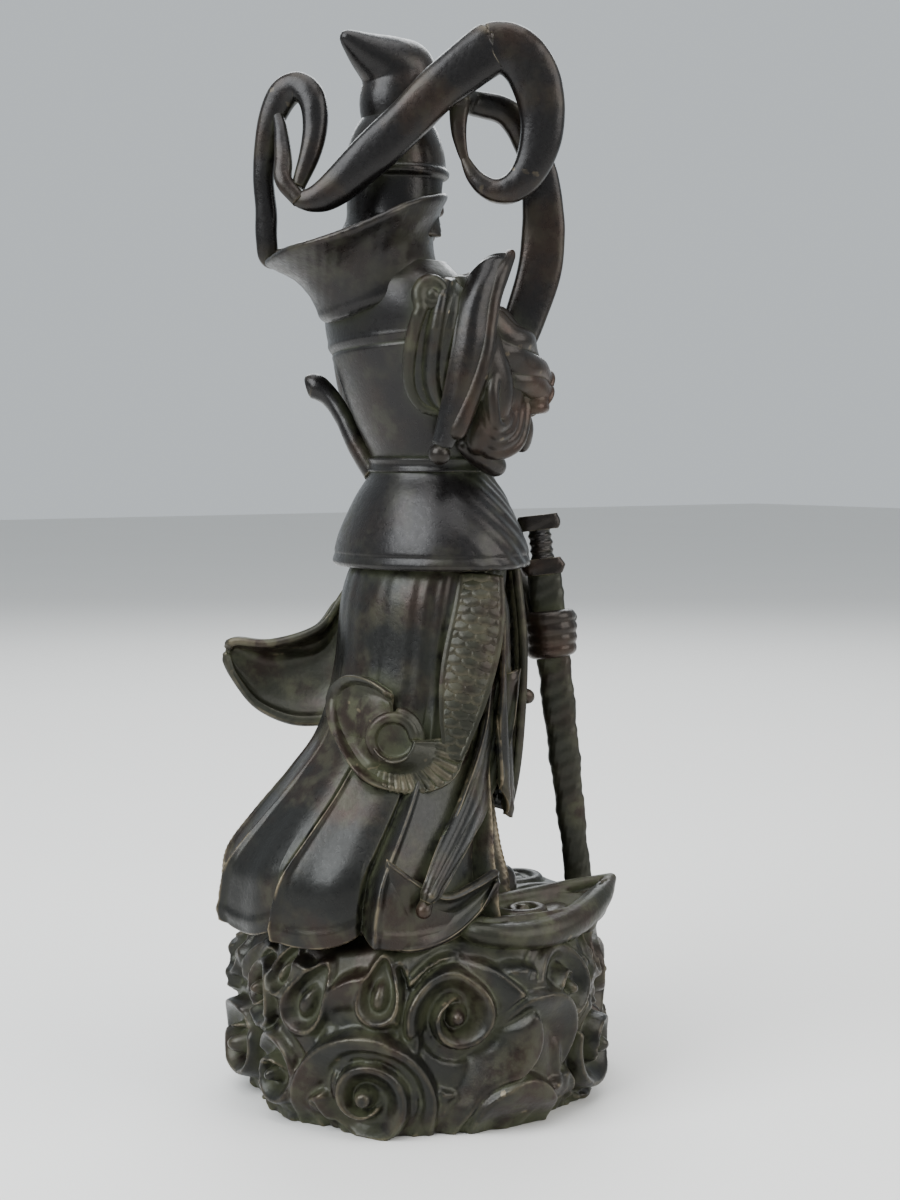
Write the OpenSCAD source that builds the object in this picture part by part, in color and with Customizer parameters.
// Bronze statuette of an armoured guardian standing on a cloud base, with a sword that lifts out.
// Millimetres. +Z is up, the figure faces -Y, its right hand is on the -X side, and the origin is the
// centre of the base's underside.

/* [Cloud base] */
// Width of the base from side to side
base_w = 78; // [74:1:82]
// Depth of the base from front to back
base_d = 80; // [76:1:86]
// Height of the base where the figure stands
base_h = 36; // [34:1:38]
// Thickness of the base's cast wall
base_wall = 5; // [4:0.5:7]

/* [Figure] */
// Height of the waist above the table
waist_z = 123; // [122:1:125]
// Half width of the chest
chest_half_w = 19; // [17:0.5:20]
// Half depth of the chest
chest_half_d = 13; // [12:0.5:14]
// Radius of the head
head_r = 8.5; // [8:0.5:9]
// Height of the head's centre
head_z = 176; // [175:0.5:177]

/* [Scarf] */
// Direction in which the plane of the scarf's loops runs, in degrees about Z
scarf_turn = 235; // [225:1:245]
// Depth of the scarf's band, across the plane of its loops
scarf_w = 6; // [5:0.5:7]
// Breadth of the scarf where it is narrowest, at the left
scarf_narrow = 4.5; // [4:0.5:5.5]
// Breadth of the scarf where it is broadest, behind the head
scarf_broad = 8; // [7:0.5:8.5]
// Half width of the right loop, to the middle of the band
right_loop_r = 7.5; // [7:0.5:8.5]

/* [Sword] */
// Lean of the sword inwards, both backwards and to the figure's left, in degrees
sword_lean = 4.7; // [3:0.1:6]
// Width of the blade under the guard
blade_w = 7.2; // [6.6:0.1:7.4]
// Width of the blade at its tip
blade_tip_w = 5.4; // [5:0.1:6]
// Thickness of the blade
blade_t = 3.6; // [3:0.1:4]
// Radial clearance of the blade's tip pin in the base
pin_gap = 0.08; // [0.04:0.01:0.1]
// Radial clearance of the blade in the fist
fist_gap = 0.4; // [0.3:0.05:0.5]

/* [Hidden] */

$fn = 48;
tube_sides = 14;
loft_sides = 32;

foot_h = 5;             // height of the base's flat foot
cavity_h = 26;          // depth of the hollow under the base
stud_r = 2.5;           // threaded stud that holds the figure down
stud_y = 8;             // the stud stands under the figure's weight
nut_r = 4.6;
nut_h = 4;
washer_r = 6;
washer_h = 1;
neck_y = 6;             // the head and neck stand a little behind the base's centre
neck_guard_y = 10;      // centre of the neck guard's lower edge
neck_guard_z = 157;     // height of the neck guard's lower edge
neck_guard_tilt = [-20, 7, 0];  // it tips back and to the figure's left
hem_z = base_h;
sword_foot = [-12, -32, 29];    // bottom of the sword's pin, in the base
pin_r = 2;
pin_h = 6;
blade_h = 67;           // from the pin's shoulder to the guard's underside
guard_h = 3;
grip_h = 6;
pommel_h = 3;
fist_z = 61;            // height of the fist above the sword's foot, along the blade

dark_bronze = [0.13, 0.11, 0.10];
green_bronze = [0.24, 0.25, 0.17];
worn_bronze = [0.42, 0.34, 0.22];
steel = [0.55, 0.56, 0.58];

// --- Geometry helpers ---------------------------------------------------------------------------------

function unit(v) = v / norm(v);
function mean(points) = [for (k = [0:2]) sum([for (p = points) p[k]]) / len(points)];
function sum(v, i = 0) = i == len(v) ? 0 : v[i] + sum(v, i + 1);

// An ellipse of loft_sides points, with waves around it
function oval(x, y, z, a, b, waves = 0, depth = 0) = [
    for (i = [0:loft_sides - 1])
        let (t = 360 * i / loft_sides, k = 1 + depth * cos(waves * t))
        [x + a * k * cos(t), y + b * k * sin(t), z]
];

// A smooth curve through a few points, with steps points on each stretch
function spline(p, steps = 6) = concat([
    for (i = [0:len(p) - 2], s = [0:steps - 1])
        let (
            t = s / steps,
            p0 = p[max(i - 1, 0)],
            p1 = p[i],
            p2 = p[i + 1],
            p3 = p[min(i + 2, len(p) - 1)]
        )
        0.5 * (2 * p1 + (p2 - p0) * t + (2 * p0 - 5 * p1 + 4 * p2 - p3) * t * t
            + (3 * p1 - p0 - 3 * p2 + p3) * t * t * t)
], [p[len(p) - 1]]);

function tangent(path, i) = unit(path[min(i + 1, len(path) - 1)] - path[max(i - 1, 0)]);

// Rings around a path: half widths w along the direction side, half thicknesses h across it
function rings_along(path, w, h, side) = [
    for (i = [0:len(path) - 1])
        let (
            t = tangent(path, i),
            n = unit(side - (side * t) * t),
            b = cross(t, n),
            f = i / (len(path) - 1)
        )
        [for (k = [0:tube_sides - 1])
            let (a = 360 * k / tube_sides)
            path[i] + lookup(f, w) * cos(a) * n + lookup(f, h) * sin(a) * b]
];

// A closed skin over a stack of rings
module skin(rings) {
    n = len(rings[0]);
    m = len(rings);
    first_cap = n * m;
    last_cap = n * m + 1;
    points = concat([for (r = rings) each r], [mean(rings[0]), mean(rings[m - 1])]);
    walls = [for (j = [0:m - 2], i = [0:n - 1])
        let (a = j * n + i, b = j * n + (i + 1) % n)
        each [[a, a + n, b + n], [a, b + n, b]]];
    caps = [for (i = [0:n - 1])
        let (j = (i + 1) % n)
        each [[first_cap, i, j], [last_cap, (m - 1) * n + j, (m - 1) * n + i]]];
    polyhedron(points, concat(walls, caps), convexity = 6);
}

// A tube of changing section along a few points
module limb(points, w, h, side, steps = 5) {
    skin(rings_along(spline(points, steps), w, h, side));
}

// Mirrors its children to the figure's right side
module mirrored_x(on) {
    if (on) mirror([1, 0, 0]) children();
    else children();
}

// --- Cloud base ---------------------------------------------------------------------------------------

// Eight shallow lobes go round the base, so that it stays centred on the origin
function lobe(t) = 1 + 0.03 * cos(8 * t);

function base_outline(k, inset = 0) = [
    for (i = [0:47])
        let (t = 7.5 * i, r = k * lobe(t))
        [(base_w / 2 * r - inset) * cos(t), (base_d / 2 * r - inset) * sin(t)]
];

// The top of the base falls a little towards the back
function base_ring(k, z) = [
    for (p = base_outline(k)) [p.x, p.y, z * (1 - 0.06 * p.y / (base_d / 2))]
];

module cloud_base() {
    color(dark_bronze)
    difference() {
        union() {
            linear_extrude(foot_h) polygon(base_outline(0.94));
            skin([
                base_ring(0.92, foot_h - 2),
                base_ring(0.97, base_h * 0.3),
                base_ring(0.96, base_h * 0.55),
                base_ring(0.92, base_h * 0.78),
                base_ring(0.84, base_h * 0.93),
                base_ring(0.72, base_h)
            ]);
        }
        translate([0, 0, -1]) linear_extrude(cavity_h + 1) polygon(base_outline(0.92, base_wall));
        translate([0, stud_y, 0]) cylinder(h = base_h + 5, r = stud_r + 0.2);
        at_sword() cylinder(h = 20, r = pin_r + pin_gap);
        at_sword() translate([0, 0, pin_h - 0.3]) sword_passage(14);
    }
}

// An open trough of cloud at the front right of the base, turned up at its tip
module cloud_scroll() {
    route = [[-32, 8, 33], [-31, -6, 33.5], [-27, -18, 35], [-23, -30, 39]];
    color(green_bronze)
    difference() {
        limb(route, [[0, 2], [0.4, 6], [1, 2]], [[0, 2], [0.4, 4], [1, 1.5]], [1, 0, 0]);
        translate([0, 0, 2.2])
            limb(route, [[0, 0.8], [0.4, 4.4], [1, 1]], [[0, 0.8], [0.4, 3], [1, 0.6]], [1, 0, 0]);
    }
}

module base_stud() {
    color(steel)
    translate([0, stud_y, cavity_h - 8]) cylinder(h = 28, r = stud_r);
}

module base_washer() {
    color(steel)
    translate([0, stud_y, cavity_h - washer_h])
        difference() {
            cylinder(h = washer_h, r = washer_r);
            translate([0, 0, -1]) cylinder(h = washer_h + 2, r = stud_r + 0.2);
        }
}

module base_nut() {
    color(steel)
    translate([0, stud_y, cavity_h - washer_h - nut_h])
        difference() {
            cylinder(h = nut_h, r = nut_r, $fn = 6);
            translate([0, 0, -1]) cylinder(h = nut_h + 2, r = stud_r);
        }
}

// --- Robe, boots and armour below the waist -----------------------------------------------------------

module lower_robe() {
    color(green_bronze)
    skin([
        oval(0, 14, hem_z, 27, 25.5, 9, 0.03),
        oval(0, 14, 48, 26, 24.5, 9, 0.03),
        oval(0, 12, 55, 23, 22, 9, 0.02),
        oval(0, 8, 63, 19.8, 18.5, 9, 0.01),
        oval(0, 4, 71, 18, 15.8),
        oval(0, 2, 85, 18, 15),
        oval(0, 0, 99, 18, 15),
        oval(0, -2, 107, 17, 14)
    ]);
}

module boot(x, toe_y) {
    color(dark_bronze)
    translate([x, toe_y, hem_z])
        hull() {
            translate([0, 0, 3]) scale([1, 1.3, 0.8]) sphere(r = 5, $fn = 32);
            translate([0, 14, 4]) sphere(r = 5, $fn = 32);
            translate([0, 12, 14]) sphere(r = 4, $fn = 32);
        }
}

module right_boot() { boot(-9, -9); }

module left_boot() { boot(9, -14); }

module hip_skirt() {
    color(dark_bronze)
    skin([
        oval(0, -2, 103.5, 22, 17.5),
        oval(0, -2, 105, 22.5, 18),
        oval(0, -2, 110.5, 21, 17),
        oval(0, -2, 117, 17, 14.5),
        oval(0, -2, waist_z - 1, 13, 11.5)
    ]);
}

module belt() {
    color(worn_bronze)
    translate([0, -2, waist_z - 1])
        scale([1, 0.87, 1])
            rotate_extrude($fn = 120)
                translate([12.4, 0]) square([2, 3.4]);
}

module belt_buckle() {
    color(worn_bronze)
    translate([0, -13.2, waist_z + 0.7])
        rotate([90, 0, 0]) cylinder(h = 3, r = 4.5);
}

module right_hip_scroll() {
    color(green_bronze)
    limb([[-19, 7, 81], [-21, 10, 75], [-21.5, 9, 67], [-21, 1, 61], [-18.5, -8, 64]],
        [[0, 3], [0.4, 11], [0.8, 8], [1, 4]], [[0, 2], [1, 2.5]], [0, 1, 0.3]);
}

module left_hip_flap() {
    color(green_bronze)
    limb([[17, 4, 97], [20, 10, 89], [24, 18, 83], [31, 27, 84.5]],
        [[0, 8], [0.4, 9], [0.8, 6], [1, 2]], [[0, 2], [1, 1.5]], [0, 0.4, 1]);
}

// A strip of scale armour that hangs over the thigh
module thigh_guard(mirror_it) {
    color(green_bronze)
    mirrored_x(mirror_it)
        limb([[18, -4, 103], [19, -4, 89], [18.5, -3, 76], [18.5, -1, 64]],
            [[0, 6], [0.5, 7], [1, 4]], [[0, 1.6], [1, 1.4]], [0, 1, 0]);
}

module right_thigh_guard() { thigh_guard(true); }

module left_thigh_guard() { thigh_guard(false); }

module apron_panel() {
    color(green_bronze)
    limb([[-3, -15, 103], [-4, -15.5, 88], [-5, -14, 70], [-6, -12.5, 55]],
        [[0, 9], [0.5, 10], [1, 4]], [[0, 2.5], [1, 2]], [1, 0, 0]);
}

// --- Torso, neck and head -----------------------------------------------------------------------------

module torso() {
    color(dark_bronze)
    skin([
        oval(0, -2, waist_z - 3, 12.4, 10.8),
        oval(0, -2, waist_z + 2, 13, 11),
        oval(0, 1, 134, 15.5, 12),
        oval(0, 4, 145, 18, 13),
        oval(0, 5, 152, chest_half_w, chest_half_d),
        oval(0, 6, 159, chest_half_w - 3, chest_half_d - 1),
        oval(0, 7, 163, 12, 10)
    ]);
}

// A funnel-shaped guard that flares from the shoulders and tips backwards
module neck_guard() {
    color(dark_bronze)
    translate([0, neck_guard_y, neck_guard_z])
        rotate(neck_guard_tilt)
            rotate_extrude($fn = 64)
                polygon([[9, 0], [13, 0], [15, 8], [18.6, 12], [18.6, 13.4], [17, 13.4], [13, 9], [9.5, 4]]);
}

module neck_pin() {
    color(steel)
    translate([0, neck_y, 154]) cylinder(h = 16, r = 1.5);
}

module head() {
    color(dark_bronze)
    skin([
        oval(0, neck_y + 1, 158, 6, 6),
        oval(0, neck_y + 1, 165, 5.4, 5.6),
        oval(0, neck_y - 1, head_z - 9, head_r * 0.62, head_r * 0.8),
        oval(0, neck_y - 1, head_z - 4, head_r * 0.88, head_r),
        oval(0, neck_y, head_z + 2, head_r * 0.95, head_r * 1.05),
        oval(0, neck_y, head_z + 8, head_r * 0.7, head_r * 0.75)
    ]);
}

// Helmet bowl with a nape guard down the back of the neck
module helmet() {
    color(dark_bronze)
    translate([0, neck_y, 0])
        difference() {
            union() {
                translate([0, 0, 180])
                    rotate_extrude()
                        intersection() {
                            scale([1, 1.4]) circle(r = head_r + 1.4);
                            square([20, 20]);
                        }
                translate([0, 0, 167]) cylinder(h = 13.5, r = head_r + 1.3);
            }
            translate([0, 0, 160]) cylinder(h = 24, r = head_r + 0.2);
            translate([-20, -20, 160]) cube([40, 15, 18.5]);
        }
}

// A flame at the crown, its tip drawn backwards
module helmet_finial() {
    color(worn_bronze)
    limb([[0, 6, 191], [0, 5, 195], [0, 3, 199], [0, 7, 202], [0, 12, 202], [0, 18, 204]],
        [[0, 3.4], [0.2, 3], [0.5, 4.6], [0.75, 3.4], [1, 0.6]],
        [[0, 3.4], [0.2, 3], [0.5, 4.4], [0.75, 2.6], [1, 0.6]], [1, 0, 0], 4);
}

// --- Shoulders, sleeves and hands ---------------------------------------------------------------------

module shoulder_guard(mirror_it) {
    color(green_bronze)
    mirrored_x(mirror_it)
        limb([[13, 7, 160], [19, 8, 156], [22.5, 7, 148], [22, 4, 136]],
            [[0, 5], [0.5, 9], [1, 2]], [[0, 2], [1, 1.4]], [0, 1, 0]);
}

module right_shoulder_guard() { shoulder_guard(true); }

module left_shoulder_guard() { shoulder_guard(false); }

module shoulder_pins() {
    color(steel)
    for (side = [-1, 1])
        translate([side * 13, 6, 152]) rotate([0, side * 90, 0]) cylinder(h = 10, r = 1.2);
}

module right_sleeve() {
    color(dark_bronze)
    limb([[-17, 3, 154], [-22, -1, 147], [-22, -8, 140], [-17, -15, 137]],
        [[0, 6], [0.5, 9], [1, 10]], [[0, 5], [0.5, 6], [1, 5]], [0, 0.3, 1]);
}

module left_sleeve() {
    color(dark_bronze)
    limb([[17, 3, 154], [23, -4, 139], [20, -14, 122], [9, -23, 106]],
        [[0, 6], [0.5, 7], [1, 8]], [[0, 5], [0.5, 6], [1, 5]], [0, 0.3, 1]);
}

module right_hand() {
    color(worn_bronze)
    limb([[-18, -14, 137], [-15, -18, 137], [-13, -21, 136]],
        [[0, 3], [0.6, 5], [1, 3]], [[0, 3], [0.6, 4.5], [1, 3]], [0, 0, 1]);
}

// The fist is bored along the sword, so that the blade slides through it
module left_hand() {
    color(worn_bronze)
    difference() {
        union() {
            at_sword() translate([0, 0, fist_z]) scale([1, 1, 0.8]) sphere(r = 6.5);
            limb([[9, -22, 106], [3, -23, 98], [-4, -25, 91]],
                [[0, 4], [1, 4]], [[0, 4], [1, 4]], [0, 0, 1]);
        }
        at_sword() translate([0, 0, 20]) sword_passage(90);
    }
}

module left_sleeve_ribbon() {
    color(dark_bronze)
    limb([[10, 6, 122], [15, 9, 127], [19, 12, 134], [20, 13, 137]],
        [[0, 3], [1, 2.5]], [[0, 1.6], [1, 1.6]], [0, 0.5, 1]);
}

// --- Scarf --------------------------------------------------------------------------------------------
// The loops are drawn in a plane of their own: x along the plane, y across it, z up.

// Part of an ellipse in that plane, from angle a0 to a1, passing from depth y0 to y1
function bow(x, z, rx, rz, a0, a1, y0, y1, n = 12) = [
    for (i = [0:n])
        let (f = i / n, a = a0 + (a1 - a0) * f)
        [x + rx * cos(a), y0 + (y1 - y0) * f, z + rz * sin(a)]
];

module in_scarf_plane() {
    rotate([0, 0, scarf_turn]) children();
}

// A length of the scarf: t0 and t1 are its breadth in the plane at its start and its end
module band(path, t0, t1) {
    skin(rings_along(path, [[0, scarf_w / 2], [1, scarf_w / 2]], [[0, t0 / 2], [1, t1 / 2]], [0, 1, 0]));
}

left_route = [
    [-29.5, -7, 161], [-28, -7.5, 166], [-29.5, -7.5, 172], [-30, -8, 179], [-29, -8.5, 187],
    [-26.5, -9, 193.5], [-23, -10, 195.5], [-20.5, -11, 193], [-20, -12, 188], [-21, -13, 182],
    [-22.5, -14, 177.5]
];
cross_route = [[-25, -14, 178], [-22, -15, 173.5], [-16.5, -16, 175], [-9, -17, 181.5], [2, -17, 192]];
loop_x = 15;
loop_z = 188;
right_loop = bow(loop_x, loop_z, right_loop_r, right_loop_r + 5.5, 130, -200, -17, -14, 28);
tail_top = right_loop[len(right_loop) - 1];
tail_route = [
    [10, -11, 192], [17, -9, 190], [22, -7, 182], [23.5, -6, 172], [23, -6, 162], [20, -7, 152], [17, -9, 144]
];

module scarf_left_loop() {
    color(dark_bronze) in_scarf_plane() band(spline(left_route, 4), scarf_narrow, scarf_narrow + 1);
}

module scarf_cross_band() {
    color(dark_bronze)
    in_scarf_plane()
        band(spline(concat(cross_route, [right_loop[0]]), 5), scarf_narrow + 1, scarf_broad);
}

module scarf_right_loop() {
    color(dark_bronze) in_scarf_plane() band(right_loop, scarf_broad, scarf_narrow + 1);
}

module scarf_tail() {
    color(dark_bronze)
    in_scarf_plane()
        band(spline(concat([tail_top], tail_route), 4), scarf_narrow, scarf_broad);
}

// --- Sword --------------------------------------------------------------------------------------------
// Drawn along +Z from the bottom of its pin, with its flat to the figure's right, then leaned.

module at_sword() {
    translate(sword_foot) rotate([-sword_lean, sword_lean, 0]) rotate([0, 0, scarf_turn]) children();
}

// The way that the blade takes through the fist and into the base
module sword_passage(h) {
    linear_extrude(h) scale([1, (blade_t / 2 + fist_gap) / (blade_w / 2 + fist_gap)])
        circle(r = blade_w / 2 + fist_gap);
}

module sword_blade() {
    color(green_bronze)
    at_sword() {
        cylinder(h = pin_h + 1, r = pin_r);
        translate([0, 0, pin_h])
            linear_extrude(blade_h, scale = [blade_w / blade_tip_w, 1])
                scale([blade_tip_w / blade_t, 1]) circle(r = blade_t / 2);
    }
}

module sword_guard() {
    color(worn_bronze)
    at_sword() translate([-4.5, -2.4, pin_h + blade_h]) cube([9, 4.8, guard_h]);
}

module sword_grip() {
    color(dark_bronze)
    at_sword() translate([0, 0, pin_h + blade_h + guard_h]) cylinder(h = grip_h, r = 2.4);
}

module sword_pommel() {
    color(worn_bronze)
    at_sword() translate([-4.5, -2.4, pin_h + blade_h + guard_h + grip_h]) cube([9, 4.8, pommel_h]);
}

cloud_base();
cloud_scroll();
base_stud();
base_washer();
base_nut();
lower_robe();
right_boot();
left_boot();
hip_skirt();
belt();
belt_buckle();
right_hip_scroll();
left_hip_flap();
right_thigh_guard();
left_thigh_guard();
apron_panel();
torso();
neck_guard();
neck_pin();
head();
helmet();
helmet_finial();
right_shoulder_guard();
left_shoulder_guard();
shoulder_pins();
right_sleeve();
left_sleeve();
right_hand();
left_hand();
left_sleeve_ribbon();
scarf_left_loop();
scarf_cross_band();
scarf_right_loop();
scarf_tail();
sword_blade();
sword_guard();
sword_grip();
sword_pommel();
